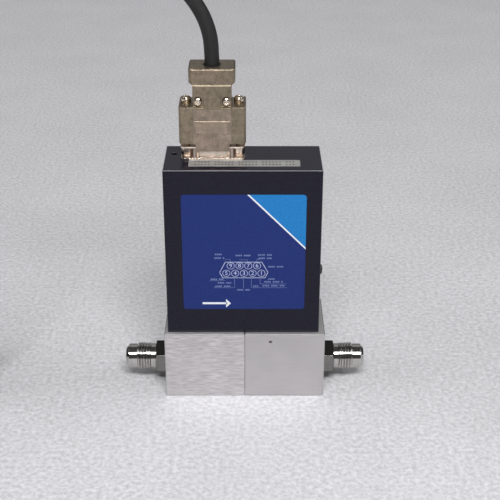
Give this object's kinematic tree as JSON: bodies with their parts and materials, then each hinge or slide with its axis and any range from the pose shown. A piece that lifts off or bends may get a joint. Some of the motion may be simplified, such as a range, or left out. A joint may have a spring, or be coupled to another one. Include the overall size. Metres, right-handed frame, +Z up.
{
  "type": "mass flow controller",
  "caption": "Gas mass flow controller: steel flow body with a face-seal fitting at each end, dark electronics cover, and a metal-hooded plug with its cable on top.",
  "frame": {"origin": "centre of the flow body's base", "axes": "+X along the flow towards the outlet, -Y to the labelled front, +Z up"},
  "size_m": [0.3395, 0.051, 0.2285],
  "materials": {
    "block_steel": "coarsely brushed stainless steel",
    "fitting_steel": "bright turned stainless steel",
    "seal_metal": "satin",
    "screw_steel": "satin",
    "inner_steel": "machined",
    "magnet_steel": "machined",
    "spring_steel": "bright",
    "seal_rubber": "matte",
    "copper_wire": "enamelled wire",
    "case_aluminium": "satin",
    "wire_cover": "smooth",
    "bobbin_plastic": "smooth",
    "board_green": "lacquered",
    "chip_black": "matte",
    "trimmer_blue": "smooth",
    "brass": "bright",
    "shell_plate": "bright nickel plate",
    "insert_black": "smooth",
    "pin_gold": "bright",
    "cover_paint": "fine satin black",
    "cover_screw_black": "black",
    "label_print": "printed film",
    "label_silver": "silver film",
    "hood_nickel": "satin nickel on cast zinc",
    "hood_screw_nickel": "bright nickel",
    "cable_jacket": "matte black jacket",
    "tie_strap": "hook and loop strap"
  },
  "bodies": {
    "controller": {"inlet_block": "block_steel", "outlet_block": "block_steel", "block_seal": "seal_metal", "block_bolts": "screw_steel", "inlet_fitting": "fitting_steel", "outlet_fitting": "fitting_steel", "fitting_seals": "seal_metal", "flow_splitter": "inner_steel", "sensor_base": "inner_steel", "sensor_seals": "seal_rubber", "sensor_tube": "inner_steel", "sensor_windings": "copper_wire", "sensor_case": "case_aluminium", "sensor_screws": "screw_steel", "sensor_leads": "wire_cover", "valve_orifice": "inner_steel", "orifice_seal": "seal_rubber", "valve_bonnet": "inner_steel", "bonnet_seal": "seal_metal", "bonnet_screws": "screw_steel", "valve_spring": "spring_steel", "valve_core": "magnet_steel", "coil_bobbin": "bobbin_plastic", "coil_winding": "copper_wire", "coil_yoke": "magnet_steel", "yoke_nut": "screw_steel", "valve_leads": "wire_cover", "board_bracket": "case_aluminium", "bracket_screws": "screw_steel", "main_board": "board_green", "board_parts": "chip_black", "connector_board": "board_green", "board_header": "chip_black", "trimmer_body": "trimmer_blue", "receptacle_shell": "shell_plate", "receptacle_insert": "insert_black", "receptacle_pins": "pin_gold", "jack_posts": "shell_plate", "cover": "cover_paint", "cover_screws": "cover_screw_black", "front_label": "label_print", "top_label": "label_silver", "plug_shell": "shell_plate", "plug_insert": "insert_black", "hood_front": "hood_nickel", "hood_rear": "hood_nickel", "hood_screws": "hood_screw_nickel", "jack_screws": "hood_screw_nickel", "cable": "cable_jacket", "cable_hank": "cable_jacket", "hank_tie": "tie_strap", "cable_tail": "cable_jacket", "far_plug_shell": "shell_plate", "far_hood_front": "hood_nickel", "far_hood_rear": "hood_nickel", "far_hood_screws": "hood_screw_nickel", "far_jack_screws": "hood_screw_nickel"},
    "plunger": {"valve_plunger": "magnet_steel", "plunger_seal": "seal_rubber"},
    "trimmer": {"trimmer_screw": "brass"}
  },
  "joints": [
    {"name": "valve_slide", "type": "slide", "parent": "controller", "child": "plunger", "axis": [0, 0, 1], "range_m": [0, 0.0004], "stiffness_N_per_m": 2000, "springref_m": -0.002, "deforming": ["valve_spring"]},
    {"name": "trimmer_turn", "type": "hinge", "parent": "controller", "child": "trimmer", "pos_m": [-0.0341, 0.0057, 0.116], "axis": [0, 0, 1], "continuous": true}
  ]
}
